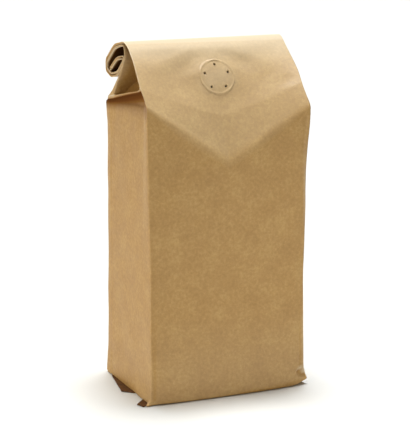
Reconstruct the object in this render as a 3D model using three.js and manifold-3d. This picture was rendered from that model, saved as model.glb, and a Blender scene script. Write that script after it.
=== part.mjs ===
// Side gusset coffee bag of plain kraft paper, full and standing, its top rolled down at the back.
//
// Millimetres, +Z up. The front panel faces -Y. The origin lies on the plane the bag stands on,
// under the middle of the bag. The shut bag is one solid with the outside shape of the paper.
//
// The skin is one closed sleeve. Its cross sections run from the foot, up the walls, over the
// shoulders, through the gable folds of the gussets to the crest, and on along the roll.

import * as THREE from 'three';
import { mergeVertices } from 'three/addons/utils/BufferGeometryUtils.js';
import Module from 'manifold-3d';

// ---------------------------------------------------------------- driving dimensions

const FLAT_WIDTH = 110;          // width of the empty bag lying flat
const HALF_WIDTH = FLAT_WIDTH / 2;
const HALF_DEPTH = 38;           // half of the depth that one gusset opens to
const FOLD_DEPTH = HALF_DEPTH;   // how deep a gusset folds in where the bag is flat
const SHOULDER_HEIGHT = 188;     // where the side edges of the front panel start to lean back
const CREST_HEIGHT = 228.3;      // top of the paper, where the roll turns over
const CREST_DEPTH = 3;           // how far the crest stands behind the middle of the bag
const CREASE_DROP = 30;          // dip of the V crease below the shoulders, in the middle
const BELLY = 5.5;               // swell of the front panel near the foot
const BACK_BELLY = 4.5;          // swell of the back panel
const PLY = 0.9;                 // two plies pressed together, as one slab
const EDGE_ROUND = 2.2;          // rounding of the four upright edges
const FOOT_INSET = 5;            // run of the rounded turn from the walls to the base
const FIN_THICKNESS = 0.8;       // sealed fins at the bottom corners

// Corners of the rolled band in the YZ plane, on its outer face: position, rounding, thickness.
const ROLL = [
  { name: 'crest', y: CREST_DEPTH, z: CREST_HEIGHT, round: 5, thick: 3.2 },
  { name: 'roof', y: 21, z: 224.8, round: 7, thick: 3.6 },
  { name: 'rear', y: 37.1, z: 212.8, round: 4, thick: 3.4 },
  { name: 'heel', y: 37.7, z: 204, round: 3.2, thick: 3.2 },
  { name: 'underside', y: 15.5, z: 204, round: 4.5, thick: 3.2 },
  { name: 'inner turn, lower', y: 3.6, z: 214.6, round: 2.4, thick: 2.8 },
  { name: 'inner turn, upper', y: 3.6, z: 219.8, round: 2.4, thick: 2.4 },
  { name: 'inner roof', y: 17, z: 217.6, round: 5, thick: 2.3 },
  { name: 'mouth', y: 31, z: 208.6, round: 0, thick: 2.3 },
];

// The one-way valve sits behind the front panel: its rim shows as a raised ring with pinholes inside.
const VALVE = {
  across: 0.6,                   // of its centre to the right of the middle
  height: 206,                   // of its centre above the ground
  radius: 11.8,                  // of the crown of the ring
  width: 1.8,                    // across the ring
  relief: 0.5,
  pinholes: 5,
  pinholeCircle: 8.3,            // radius of the circle that the pinholes lie on
  pinhole: 0.5,                  // radius of one pinhole
  pinholeDepth: 1,
};

// Flat sealed fins that stick out on the ground from under the side walls: outlines as [x, y].
const FINS = {
  rearLeft: [[-50, 34], [-55, 36], [-62.2, -7], [-55, -12.5], [-50, -10]],
  frontLeft: [[-50, -36], [-54, -37.5], [-60.5, -43.5], [-62.5, -36.7], [-54, -28], [-50, -28]],
  rearRight: [[50, -8], [54, -10], [59.5, -4], [54, 34], [50, 34]],
  frontRight: [[50, -28], [54, -27], [57.2, -32], [57, -38.5], [53, -38.5], [50, -36]],
};

// Mesh fineness: columns round the bag, and steps along it.
const FLANGE_COLUMNS = 3;        // across the part of a panel that a folded gusset lies behind
const MIDDLE_COLUMNS = 6;        // across the rest of a panel
const POCKET_COLUMNS = 3;        // across the middle of a gusset
const EDGE_COLUMNS = 2;          // round an upright edge
const TURN_STEPS = 3;            // round each corner along the bag
const RUN_STEPS = [1, 1, 2, 3, 1, 1, 1, 1, 1, 1, 2, 2, 1, 2, 2, 1, 2, 2];
const VALVE_STEPS = 44;          // round the valve's ring

// ---------------------------------------------------------------- blending

// Numbers, and lists of numbers of any depth, blended from a to b.
function mix(a, b, t) {
  if (Array.isArray(a)) return a.map((value, i) => mix(value, b[i], t));
  return a + (b - a) * t;
}

const mixSections = (a, b, t) => Object.fromEntries(
  Object.keys(a).map((key) => [key, mix(a[key], b[key], t)]),
);

// ---------------------------------------------------------------- cross sections

const FRONT = 0;
const BACK = 1;

// One cross section. front and back are the [y, z] of the panels at the side edges. The swells move
// the middle of a panel, with power as the fullness of that curve, and twist moves the front
// panel's right edge by its value and the left edge the other way. Each gusset half keeps a strip
// at its side edge, then folds in by fold to end margin off its panel, front half first. edge
// rounds the upright edges, and round is the rounding along the bag.
const PLAIN_SECTION = {
  front: [0, 0], back: [0, 0], left: HALF_WIDTH, right: HALF_WIDTH,
  frontSwell: [0, 0], backSwell: [0, 0], power: 2.6, twist: [0, 0],
  strip: [4, 4], fold: [0, 0], margin: [13, 13], edge: EDGE_ROUND, round: 0,
};

function wallSections() {
  const foot = HALF_DEPTH - FOOT_INSET;
  return [
    {
      front: [-foot, 0], back: [foot, 0], strip: [3, 3],
      left: HALF_WIDTH - FOOT_INSET, right: HALF_WIDTH - FOOT_INSET,
      frontSwell: [-BELLY, 0], backSwell: [BACK_BELLY, 0],
    },
    {
      front: [-HALF_DEPTH - 0.5, 0], back: [HALF_DEPTH, 0], left: 55.6, right: 54,
      frontSwell: [-BELLY, 0], backSwell: [BACK_BELLY, 0], round: 4.5,
    },
    {
      front: [-HALF_DEPTH - 0.5, 20], back: [HALF_DEPTH, 20], left: 55, right: 54,
      frontSwell: [-BELLY, 0], backSwell: [BACK_BELLY, 0], round: 9,
    },
    {
      front: [-HALF_DEPTH, 100], back: [HALF_DEPTH, 100], left: 54.5, right: 54,
      frontSwell: [-4, -5], backSwell: [BACK_BELLY, -4], power: 2.4, round: 25,
    },
    {
      front: [-HALF_DEPTH - 1, SHOULDER_HEIGHT], back: [36.5, SHOULDER_HEIGHT - 3],
      left: 54.5, right: 57, frontSwell: [-2, -CREASE_DROP], backSwell: [4, -23], power: 1.2,
      twist: [-1.6, 0], strip: [3, 5], fold: [1.5, 0.5], margin: [12, 13], round: 2,
    },
  ];
}

// From the shoulders to the crest each gusset folds in between the panels as a gable: its lip lies
// level with the side wall, and above the lip its middle goes in until it is a flat double fold.
function gableSections() {
  return [
    {
      front: [-35.1, 194.6], back: [33.8, 187.4], left: 54.6, right: 56,
      frontSwell: [-1, -24.5], backSwell: [2, -19], power: 1.15, twist: [-0.9, -0.6],
      strip: [2, 7], fold: [5, 2.5], margin: [9, 13], round: 3,
    },
    {
      front: [-29.8, 201.3], back: [29.3, 190.8], left: 54.8, right: 55.3,
      frontSwell: [0.4, -18.6], backSwell: [1, -14.5], power: 1.15, twist: [-0.4, -1.2],
      strip: [1.6, 9.5], fold: [1.5, 1.2], margin: [4, 12], edge: 1.4, round: 1.2,
    },
    {
      front: [-23.5, 208], back: [19.6, 199.2], frontSwell: [1.2, -10.6], backSwell: [0.5, -8],
      power: 1.3, twist: [0, -1.7],
      strip: [1.2, 4.5], fold: [14, 13], margin: [PLY + 0.4, 5], edge: 0.8, round: 3,
    },
    {
      front: [-16.6, 214.6], back: [8.6, 209.4], frontSwell: [1, -2.4], backSwell: [0, -3],
      power: 1.6, twist: [0, -2],
      strip: [PLY, PLY], fold: [26, 25], margin: [PLY, PLY], edge: 0.5, round: 4,
    },
    {
      front: [-5, 223.8], back: [1.9, 217.4], frontSwell: [-0.5, 0.2], twist: [0, -1.5],
      strip: [PLY, PLY], fold: [35, 34], margin: [PLY, PLY], edge: 0.4, round: 3.5,
    },
  ];
}

// Each roll section lies across the band: its back point is the front point moved square to the
// band, or along the mitre at a corner.
function rollSections() {
  const slope = (a, b) => new THREE.Vector2(b.y - a.y, b.z - a.z).normalize();
  const beforeCrest = { y: CREST_DEPTH - 9, z: CREST_HEIGHT - 3.5 };
  return ROLL.map((corner, i) => {
    const into = slope(ROLL[i - 1] ?? beforeCrest, corner);
    const outOf = i + 1 < ROLL.length ? slope(corner, ROLL[i + 1]) : into;
    const mitre = new THREE.Vector2(into.y + outOf.y, -into.x - outOf.x);
    mitre.multiplyScalar(corner.thick / (1 + into.dot(outOf)));
    return {
      front: [corner.y, corner.z], back: [corner.y + mitre.x, corner.z + mitre.y],
      strip: [PLY, PLY], fold: [FOLD_DEPTH, FOLD_DEPTH], margin: [PLY, PLY],
      edge: PLY * 0.4, round: corner.round,
    };
  });
}

const filledIn = (section) => ({ ...PLAIN_SECTION, ...section });
const WALLS_AND_GABLE = [...wallSections(), ...gableSections()].map(filledIn);
const SECTIONS = [...WALLS_AND_GABLE, ...rollSections().map(filledIn)];

// The cross sections that the mesh needs, in order along the bag: each corner is rounded by a
// quadratic arc, and each straight run between two corners is divided evenly.
function cutsAlong(sections, runSteps, turnSteps) {
  const reach = sections.map(({ front }, i) => {
    const next = sections[i + 1]?.front ?? front;
    return Math.hypot(next[0] - front[0], next[1] - front[1]);
  });
  const share = (round, length) => (length ? Math.min(0.48, round / length) : 0);
  const cuts = [];
  sections.forEach((section, i) => {
    const next = sections[i + 1] ?? section;
    const start = mixSections(section, sections[i - 1] ?? section, share(section.round, reach[i - 1]));
    const end = mixSections(section, next, share(section.round, reach[i]));
    const steps = section.round > 0 ? turnSteps : 0;
    for (let k = 0; k < steps; k += 1) {
      const t = k / steps;
      cuts.push(mixSections(mixSections(start, section, t), mixSections(section, end, t), t));
    }
    cuts.push(end);
    const runEnd = mixSections(next, section, share(next.round, reach[i]));
    const divisions = next === section ? 1 : runSteps[i];
    for (let k = 1; k < divisions; k += 1) cuts.push(mixSections(end, runEnd, k / divisions));
  });
  return cuts;
}

// ---------------------------------------------------------------- one ring of the skin

// The front or back panel at x, as [y, z].
function panelAt(cut, x, panel) {
  const full = 1 - Math.min(1, Math.abs(x) / (x < 0 ? cut.left : cut.right)) ** cut.power;
  const [base, swell] = panel === FRONT ? [cut.front, cut.frontSwell] : [cut.back, cut.backSwell];
  const twist = panel === FRONT ? x / HALF_WIDTH : 0;
  return base.map((value, i) => value + swell[i] * full + cut.twist[i] * twist);
}

// How far apart the panels are at x.
function gapAt(cut, x) {
  const [y, z] = panelAt(cut, x, FRONT);
  const [yBack, zBack] = panelAt(cut, x, BACK);
  return Math.hypot(yBack - y, zBack - z);
}

// A point [x, y, z] that stands off one panel, towards the other.
function standOff(cut, x, panel, off) {
  const other = panel === FRONT ? BACK : FRONT;
  return [x, ...mix(panelAt(cut, x, panel), panelAt(cut, x, other), off / gapAt(cut, x))];
}

function panelPoints(cut, panel, place) {
  const flange = FOLD_DEPTH / FLAT_WIDTH;
  const fractions = [];
  for (let k = 0; k < FLANGE_COLUMNS; k += 1) fractions.push((flange * k) / FLANGE_COLUMNS);
  for (let k = 0; k < MIDDLE_COLUMNS; k += 1) fractions.push(mix(flange, 1 - flange, k / MIDDLE_COLUMNS));
  for (let k = FLANGE_COLUMNS; k >= 0; k -= 1) fractions.push(1 - (flange * k) / FLANGE_COLUMNS);
  const [start, end] = [-cut.left + cut.edge, cut.right - cut.edge];
  return fractions.map((fraction) => place(mix(start, end, fraction), panel, 0));
}

// One gusset from its front edge to its back edge; side is -1 on the left and 1 on the right.
function gussetPoints(cut, side, place) {
  const outer = side < 0 ? -cut.left : cut.right;
  const half = (panel) => {
    const [strip, fold, margin] = [cut.strip[panel], cut.fold[panel], cut.margin[panel]];
    const onPanel = place(outer - side * cut.edge, panel, 0);
    const tip = place(outer, panel, 0);
    const onSide = place(outer, panel, 0.9 * Math.min(cut.edge, strip));
    const points = [];
    for (let k = 1; k <= EDGE_COLUMNS; k += 1) {
      const t = k / EDGE_COLUMNS;
      points.push(mix(mix(onPanel, tip, t), mix(tip, onSide, t), t));
    }
    for (let k = 0; k <= FLANGE_COLUMNS; k += 1) {
      const t = k / FLANGE_COLUMNS;
      points.push(place(outer - side * fold * t, panel, mix(strip, margin, t)));
    }
    return points;
  };
  const front = half(FRONT);
  const back = half(BACK);
  const pocket = [];
  for (let k = 1; k < POCKET_COLUMNS; k += 1) {
    pocket.push(mix(front.at(-1), back.at(-1), k / POCKET_COLUMNS));
  }
  return [...front, ...pocket, ...back.reverse()];
}

// One ring: front panel from left to right, right gusset from front to back, back panel from right
// to left, left gusset from back to front.
function ring(cut, offAt = (x, off) => off) {
  const place = (x, panel, off) => standOff(cut, x, panel, offAt(x, off));
  return [
    ...panelPoints(cut, FRONT, place), ...gussetPoints(cut, 1, place),
    ...panelPoints(cut, BACK, place).reverse(), ...gussetPoints(cut, -1, place).reverse(),
  ];
}

// The last ring closes the sleeve: the two slabs at each side end in lines inside them, and those
// lines meet where the gusset folds end, so its points coincide in pairs.
function closingRing(cut) {
  const closing = (x) => {
    const inward = Math.min(FOLD_DEPTH, HALF_WIDTH - Math.abs(x));
    return mix(PLY / 2, gapAt(cut, 0) / 2, THREE.MathUtils.smoothstep(inward, 0, FOLD_DEPTH));
  };
  return ring({ ...cut, edge: 0 }, closing);
}

// ---------------------------------------------------------------- the sleeve

const BELOW = 2;                 // the sleeve starts this far under the ground, and is cut there

function sleeve() {
  const rings = cutsAlong(SECTIONS, RUN_STEPS, TURN_STEPS).map((cut) => ring(cut));
  rings.unshift(rings[0].map(([x, y]) => [x, y, -BELOW]));
  const [lead, mouth] = SECTIONS.slice(-2);
  rings.push(closingRing(mixSections(lead, mouth, 1.08)));

  const columns = rings[0].length;
  const positions = rings.flat(2);
  const centre = positions.length / 3;
  positions.push(0, 0, -BELOW);
  const indices = [];
  for (let column = 0; column < columns; column += 1) {
    const next = (column + 1) % columns;
    indices.push(centre, next, column);
    for (let row = 0; row + 1 < rings.length; row += 1) {
      const [a, b] = [row * columns + column, row * columns + next];
      indices.push(a, b, b + columns, a, b + columns, a + columns);
    }
  }
  return closedGeometry(positions, indices);
}

function closedGeometry(positions, indices) {
  const geometry = new THREE.BufferGeometry();
  geometry.setAttribute('position', new THREE.Float32BufferAttribute(positions, 3));
  geometry.setIndex(indices);
  return geometry;
}

// ---------------------------------------------------------------- the valve's imprint

// The middle of the front panel from the belly to the crest, as points (y, z).
function frontProfile() {
  const steps = 8;
  return cutsAlong(WALLS_AND_GABLE, WALLS_AND_GABLE.map(() => steps), steps)
    .map((cut) => new THREE.Vector2(...panelAt(cut, VALVE.across, FRONT)));
}

function profileAt(profile, height) {
  const i = profile.findIndex((point) => point.y > height);
  const [low, high] = [profile[i - 1], profile[i]];
  return low.clone().lerp(high, (height - low.y) / (high.y - low.y));
}

// The raised ring, which follows the panel, and the pinholes inside it.
function valveSolids() {
  const profile = frontProfile();
  const slope = profileAt(profile, VALVE.height + VALVE.radius)
    .sub(profileAt(profile, VALVE.height - VALVE.radius))
    .normalize();
  const normal = new THREE.Vector2(-slope.y, slope.x);
  const spot = (radius, angle, lift) => {
    const height = VALVE.height + radius * Math.sin(angle) * slope.y;
    const point = profileAt(profile, height).addScaledVector(normal, lift);
    return new THREE.Vector3(VALVE.across + radius * Math.cos(angle), point.x, point.y);
  };

  // across the ring: its two feet under the paper, its crown, and a keel that closes it below
  const { width, relief } = VALVE;
  const outline = [
    [-width / 2, -relief], [-width / 6, relief],
    [width / 6, relief], [width / 2, -relief],
    [0, -2 * relief],
  ];
  const positions = [];
  const indices = [];
  for (let k = 0; k < VALVE_STEPS; k += 1) {
    const here = k * outline.length;
    const there = ((k + 1) % VALVE_STEPS) * outline.length;
    outline.forEach(([out, lift], j) => {
      const next = (j + 1) % outline.length;
      positions.push(...spot(VALVE.radius + out, (2 * Math.PI * k) / VALVE_STEPS, lift));
      indices.push(here + j, here + next, there + next, here + j, there + next, there + j);
    });
  }

  const pinholes = [];
  for (let k = 0; k < VALVE.pinholes; k += 1) {
    const angle = Math.PI / 2 + (2 * Math.PI * k) / VALVE.pinholes;
    const hole = new THREE.CylinderGeometry(VALVE.pinhole, VALVE.pinhole, 2 * VALVE.pinholeDepth, 8);
    hole.rotateX(Math.atan2(normal.y, normal.x));
    hole.translate(...spot(VALVE.pinholeCircle, angle, 0));
    pinholes.push(hole);
  }
  return { imprint: closedGeometry(positions, indices), pinholes };
}

// ---------------------------------------------------------------- fins at the bottom corners

function finGeometry(outline) {
  const shape = new THREE.Shape(outline.map(([x, y]) => new THREE.Vector2(x, y)));
  const fin = new THREE.ExtrudeGeometry(shape, { depth: FIN_THICKNESS + BELOW, bevelEnabled: false });
  return fin.translate(0, 0, -BELOW);
}

// ---------------------------------------------------------------- solids

const wasm = await Module();
wasm.setup();

// A closed geometry as a solid; vertices that coincide are merged and flat triangles dropped.
function solid(geometry) {
  geometry.deleteAttribute('normal');
  geometry.deleteAttribute('uv');
  const merged = mergeVertices(geometry, 1e-3);
  const kept = [];
  for (let i = 0; i < merged.index.count; i += 3) {
    const [a, b, c] = merged.index.array.slice(i, i + 3);
    if (a !== b && b !== c && c !== a) kept.push(a, b, c);
  }
  return new wasm.Manifold(new wasm.Mesh({
    numProp: 3,
    vertProperties: new Float32Array(merged.attributes.position.array),
    triVerts: new Uint32Array(kept),
  }));
}

// Everything below the plane the bag stands on.
function ground() {
  const size = 4 * FLAT_WIDTH;
  return solid(new THREE.BoxGeometry(size, size, size).translate(0, 0, -size / 2));
}

function bagGeometry() {
  const { imprint, pinholes } = valveSolids();
  let body = solid(sleeve()).add(solid(imprint));
  for (const hole of pinholes) body = body.subtract(solid(hole));
  for (const outline of Object.values(FINS)) body = body.add(solid(finGeometry(outline)));
  const mesh = body.subtract(ground()).getMesh();
  return closedGeometry(Array.from(mesh.vertProperties), Array.from(mesh.triVerts));
}

// ---------------------------------------------------------------- the model

const kraft = new THREE.MeshStandardMaterial({ color: 0xb98f5c, roughness: 0.82, metalness: 0 });

const bag = new THREE.Mesh(bagGeometry(), kraft);
bag.name = 'coffee_bag';

const model = new THREE.Group();
model.add(bag);

export default model;
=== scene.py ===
"""A side gusset coffee bag of plain kraft paper, full and standing, with its top rolled down behind it.

Lengths in the classes are millimetres, as a bag maker gives them; meshes are scaled to metres at the end.
The front panel faces -Y, +Z is up, and the bag stands on the plane z = 0.
"""

from __future__ import annotations

import logging
import math
from dataclasses import dataclass, field, fields, replace
from enum import Enum
from typing import Any, Iterable, Sequence

import bmesh
import bpy
import numpy as np
from mathutils import Matrix, Vector, noise

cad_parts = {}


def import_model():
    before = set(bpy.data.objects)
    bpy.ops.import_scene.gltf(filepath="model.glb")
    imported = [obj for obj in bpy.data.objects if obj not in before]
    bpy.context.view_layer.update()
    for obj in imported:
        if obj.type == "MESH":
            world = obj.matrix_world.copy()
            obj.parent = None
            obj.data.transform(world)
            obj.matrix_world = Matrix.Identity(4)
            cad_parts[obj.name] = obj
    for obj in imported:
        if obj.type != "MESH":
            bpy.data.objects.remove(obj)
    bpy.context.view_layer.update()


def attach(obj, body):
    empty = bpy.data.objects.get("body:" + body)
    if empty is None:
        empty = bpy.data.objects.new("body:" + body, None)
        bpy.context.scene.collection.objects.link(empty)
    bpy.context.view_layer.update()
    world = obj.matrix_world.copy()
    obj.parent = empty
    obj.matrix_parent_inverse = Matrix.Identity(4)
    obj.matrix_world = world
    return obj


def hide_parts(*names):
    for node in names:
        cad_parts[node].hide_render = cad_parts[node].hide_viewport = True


log = logging.getLogger("coffee_bag")

MM = 0.001                       # metres in a millimetre
BAG_NODE = "coffee_bag"          # the one solid of the frame

Pair = tuple[float, float]
Triple = tuple[float, float, float]


class Side(Enum):
    """The two broad panels of the bag."""

    FRONT = "front"
    BACK = "back"

    @property
    def index(self) -> int:
        """Place of this panel's value in a pair of values."""
        return 0 if self is Side.FRONT else 1

    @property
    def other(self) -> Side:
        """The panel across the bag."""
        return Side.BACK if self is Side.FRONT else Side.FRONT


# ---------------------------------------------------------------- node helpers and colours


def linear(hex_colour: str) -> tuple[float, float, float, float]:
    """Turn an sRGB hex colour into the linear colour that a shader works in.

    Args:
        hex_colour: six hex digits, with or without a leading #.

    Returns:
        Red, green, blue and an alpha of one.
    """
    digits = hex_colour.lstrip("#")
    channels = [int(digits[i:i + 2], 16) / 255 for i in (0, 2, 4)]
    decoded = [c / 12.92 if c <= 0.04045 else ((c + 0.055) / 1.055) ** 2.4 for c in channels]
    return (decoded[0], decoded[1], decoded[2], 1.0)


def add_node(tree: bpy.types.NodeTree, kind: str, inputs: dict[Any, Any] | None = None,
             **settings: Any) -> bpy.types.Node:
    """Add a node, set its properties, and fill or link its sockets.

    Args:
        tree: the node tree that the node goes into.
        kind: the node's type name.
        inputs: socket name or number to a value, or to another node's output socket.
        **settings: properties of the node itself.

    Returns:
        The new node.
    """
    node = tree.nodes.new(kind)
    for name, value in settings.items():
        setattr(node, name, value)
    for socket, value in (inputs or {}).items():
        if isinstance(value, bpy.types.NodeSocket):
            tree.links.new(value, node.inputs[socket])
        else:
            node.inputs[socket].default_value = value
    return node


def pattern_scale(feature_mm: float) -> float:
    """Noise scale, in metres, at which one blotch is about feature_mm across."""
    return 1.0 / (feature_mm * MM)


# ---------------------------------------------------------------- finishes


@dataclass(frozen=True)
class KraftPaper:
    """Uncoated brown kraft: unbleached pulp pressed on a paper machine, matt with a faint calendered gloss.

    The eye sees a tan ground clouded by uneven fibre (formation), short fibre flecks, and paler rubbed folds.
    Painted highlight and sheen also pale the crest, upper slopes, lip and edges, and painted shade darkens
    the slits, hollows and creases.
    """

    name: str = "kraft_paper_uncoated"
    shade: str = "#a68047"
    body: str = "#b08a4e"
    pale: str = "#bb975b"
    fold_pale_and_highlight: str = "#d7cbb2"       # rubbed fibre on worked folds, and painted highlight and sheen on the crest, slopes, lip and edges
    cloud_mm: float = 14.0           # clouds of the pulp's formation
    mottle_mm: float = 2.0           # drawn coarser than the real 1 mm so that it shows
    fleck_mm: float = 1.1
    crinkle_mm: float = 7.0          # handling crinkles over the beans
    bounce: str = "#6f4522"          # painted shade: the warm tone of paper that only other paper lights
    deep: str = "#241104"            # painted shade, far in between the rolled plies
    roughness: float = 0.5
    specular: float = 0.35

    def material(self) -> bpy.types.Material:
        """Build the node material."""
        material = bpy.data.materials.new(self.name)
        material.use_nodes = True
        tree = material.node_tree
        shader = tree.nodes["Principled BSDF"]
        place = add_node(tree, "ShaderNodeTexCoord").outputs["Object"]

        cloud = add_node(tree, "ShaderNodeTexNoise", {
            "Vector": place, "Scale": pattern_scale(self.cloud_mm), "Detail": 2.0, "Roughness": 0.5})
        mottle = add_node(tree, "ShaderNodeTexNoise", {
            "Vector": place, "Scale": pattern_scale(self.mottle_mm), "Detail": 3.0, "Roughness": 0.6})
        fleck = add_node(tree, "ShaderNodeTexNoise", {
            "Vector": place, "Scale": pattern_scale(self.fleck_mm), "Detail": 2.0, "Roughness": 0.7,
            "Distortion": 0.6})
        blend = add_node(tree, "ShaderNodeMix", {
            "Factor": 0.65, "A": cloud.outputs["Fac"], "B": mottle.outputs["Fac"]}, data_type="FLOAT")
        ground = add_node(tree, "ShaderNodeValToRGB", {"Fac": blend.outputs["Result"]})
        ramp = ground.color_ramp
        ramp.elements[0].position, ramp.elements[0].color = 0.34, linear(self.shade)
        ramp.elements[1].position, ramp.elements[1].color = 0.66, linear(self.pale)
        ramp.elements.new(0.5).color = linear(self.body)
        fleck_depth = add_node(tree, "ShaderNodeMapRange", {
            "Value": fleck.outputs["Fac"], "From Min": 0.3, "From Max": 0.7, "To Min": 0.93,
            "To Max": 1.05})
        flecked = add_node(tree, "ShaderNodeVectorMath", {
            0: ground.outputs["Color"], "Scale": fleck_depth.outputs["Result"]}, operation="SCALE")

        # painted highlight and sheen, with fibre rubbed pale on the folds, mixed in towards the pale colour
        wear_and_highlight = add_node(tree, "ShaderNodeAttribute", attribute_name="wear_and_highlight")
        worn_and_highlit = add_node(tree, "ShaderNodeMix", data_type="RGBA")
        tree.links.new(wear_and_highlight.outputs["Fac"], worn_and_highlit.inputs["Factor"])
        tree.links.new(flecked.outputs["Vector"], worn_and_highlit.inputs[6])
        worn_and_highlit.inputs[7].default_value = linear(self.fold_pale_and_highlight)
        # painted shade: slits, hollows, the band under the lip and the right edges turn warm, then dark, and lose
        # their gloss
        painted_shade = add_node(tree, "ShaderNodeAttribute", attribute_name="painted_shade")
        warmth = add_node(tree, "ShaderNodeMapRange", {"Value": painted_shade.outputs["Fac"], "From Max": 0.6})
        depth = add_node(tree, "ShaderNodeMapRange", {"Value": painted_shade.outputs["Fac"], "From Min": 0.5})
        warm = add_node(tree, "ShaderNodeMix", {
            0: warmth.outputs["Result"], 6: worn_and_highlit.outputs[2], 7: linear(self.bounce)}, data_type="RGBA")
        shaded = add_node(tree, "ShaderNodeMix", {
            0: depth.outputs["Result"], 6: warm.outputs[2], 7: linear(self.deep)}, data_type="RGBA")
        tree.links.new(shaded.outputs[2], shader.inputs["Base Color"])

        crinkle = add_node(tree, "ShaderNodeTexNoise", {
            "Vector": place, "Scale": pattern_scale(self.crinkle_mm), "Detail": 3.0, "Roughness": 0.55})
        soft = add_node(tree, "ShaderNodeBump", {
            "Height": crinkle.outputs["Fac"], "Strength": 0.5, "Distance": 0.5 * MM})
        fibre = add_node(tree, "ShaderNodeBump", {
            "Height": fleck.outputs["Fac"], "Strength": 0.35, "Distance": 0.06 * MM,
            "Normal": soft.outputs["Normal"]})
        tree.links.new(fibre.outputs["Normal"], shader.inputs["Normal"])
        shader.inputs["Roughness"].default_value = self.roughness
        gloss = add_node(tree, "ShaderNodeMapRange", {
            "Value": painted_shade.outputs["Fac"], "From Max": 0.45, "To Min": self.specular, "To Max": 0.0})
        tree.links.new(gloss.outputs["Result"], shader.inputs["Specular IOR Level"])
        shader.inputs["IOR"].default_value = 1.5
        return material


@dataclass(frozen=True)
class SealKraftPaintedShade:
    """Kraft of the bottom seal; its dark brown is painted shade, for the hollows under the walls' lower edges where
    the fins show.
    """

    name: str = "kraft_seal_painted_shade"
    shade: str = "#3f240a"
    body: str = "#5c3810"
    mottle_mm: float = 2.2
    roughness: float = 0.6
    specular: float = 0.15           # a seal pressed against the base has little gloss

    def material(self) -> bpy.types.Material:
        """Build the node material."""
        material = bpy.data.materials.new(self.name)
        material.use_nodes = True
        tree = material.node_tree
        shader = tree.nodes["Principled BSDF"]
        place = add_node(tree, "ShaderNodeTexCoord").outputs["Object"]
        mottle = add_node(tree, "ShaderNodeTexNoise", {
            "Vector": place, "Scale": pattern_scale(self.mottle_mm), "Detail": 3.0})
        ground = add_node(tree, "ShaderNodeValToRGB", {"Fac": mottle.outputs["Fac"]})
        ramp = ground.color_ramp
        ramp.elements[0].position, ramp.elements[0].color = 0.35, linear(self.shade)
        ramp.elements[1].position, ramp.elements[1].color = 0.65, linear(self.body)
        tree.links.new(ground.outputs["Color"], shader.inputs["Base Color"])
        bump = add_node(tree, "ShaderNodeBump", {
            "Height": mottle.outputs["Fac"], "Strength": 0.4, "Distance": 0.1 * MM})
        tree.links.new(bump.outputs["Normal"], shader.inputs["Normal"])
        shader.inputs["Roughness"].default_value = self.roughness
        shader.inputs["Specular IOR Level"].default_value = self.specular
        return material


@dataclass(frozen=True)
class ValveCavity:
    """The unlit inside of the valve, seen through its pinholes."""

    name: str = "valve_cavity_dark"
    colour: str = "#060403"
    lint: str = "#120c07"
    grain_mm: float = 0.4

    def material(self) -> bpy.types.Material:
        """Build the node material."""
        material = bpy.data.materials.new(self.name)
        material.use_nodes = True
        tree = material.node_tree
        shader = tree.nodes["Principled BSDF"]
        place = add_node(tree, "ShaderNodeTexCoord").outputs["Object"]
        grain = add_node(tree, "ShaderNodeTexNoise", {"Vector": place, "Scale": pattern_scale(self.grain_mm)})
        ground = add_node(tree, "ShaderNodeValToRGB", {"Fac": grain.outputs["Fac"]})
        ground.color_ramp.elements[0].color = linear(self.colour)
        ground.color_ramp.elements[1].color = linear(self.lint)
        tree.links.new(ground.outputs["Color"], shader.inputs["Base Color"])
        shader.inputs["Roughness"].default_value = 0.8
        return material


@dataclass(frozen=True)
class StudioWhite:
    """The matt white of a studio's table."""

    name: str = "studio_white"
    colour: str = "#cfcfce"

    def material(self) -> bpy.types.Material:
        """Build the node material."""
        material = bpy.data.materials.new(self.name)
        material.use_nodes = True
        shader = material.node_tree.nodes["Principled BSDF"]
        shader.inputs["Base Color"].default_value = linear(self.colour)
        shader.inputs["Roughness"].default_value = 0.9
        shader.inputs["Specular IOR Level"].default_value = 0.0
        return material


@dataclass(frozen=True)
class StudioBackdrop:
    """An evenly lit white backdrop behind the table."""

    name: str = "studio_backdrop_white"
    strength: float = 1.0

    def material(self) -> bpy.types.Material:
        """Build the node material."""
        material = bpy.data.materials.new(self.name)
        material.use_nodes = True
        tree = material.node_tree
        tree.nodes.remove(tree.nodes["Principled BSDF"])
        glow = add_node(tree, "ShaderNodeEmission", {"Color": (1.0, 1.0, 1.0, 1.0), "Strength": self.strength})
        tree.links.new(glow.outputs["Emission"], tree.nodes["Material Output"].inputs["Surface"])
        return material


# ---------------------------------------------------------------- cross sections of the paper


@dataclass(frozen=True)
class Section:
    """One cross section of the paper sleeve; sections are blended value by value along the bag."""

    front: Pair = (0.0, 0.0)         # y, z of the front panel at its side edges
    back: Pair = (0.0, 0.0)
    left: float = 55.0
    right: float = 55.0
    front_swell: Pair = (0.0, 0.0)   # how far the middle of the panel is moved, in y and z
    back_swell: Pair = (0.0, 0.0)
    power: float = 2.6               # fullness of that curve across the panel
    twist: Pair = (0.0, 0.0)         # move of the front panel's right edge; the left goes the other way
    strip: Pair = (4.0, 4.0)         # what a gusset half keeps beside its edge before it folds in
    fold: Pair = (0.0, 0.0)          # how far each gusset half folds in
    margin: Pair = (13.0, 13.0)      # its distance from its panel where the fold ends
    edge: float = 0.9                # rounding of the upright edges
    round: float = 0.0               # rounding along the bag
    soften: float = 0.0              # rounding added in the middle of the panels

    def values(self) -> np.ndarray:
        """All values in one row."""
        return np.concatenate([np.atleast_1d(getattr(self, f.name)).astype(float) for f in fields(self)])


def value_places() -> dict[str, slice]:
    """Where each field of a section lies in its row of values."""
    places, start = {}, 0
    for entry in fields(Section):
        size = np.atleast_1d(entry.default).size
        places[entry.name] = slice(start, start + size)
        start += size
    return places


PLACES = value_places()


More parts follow.
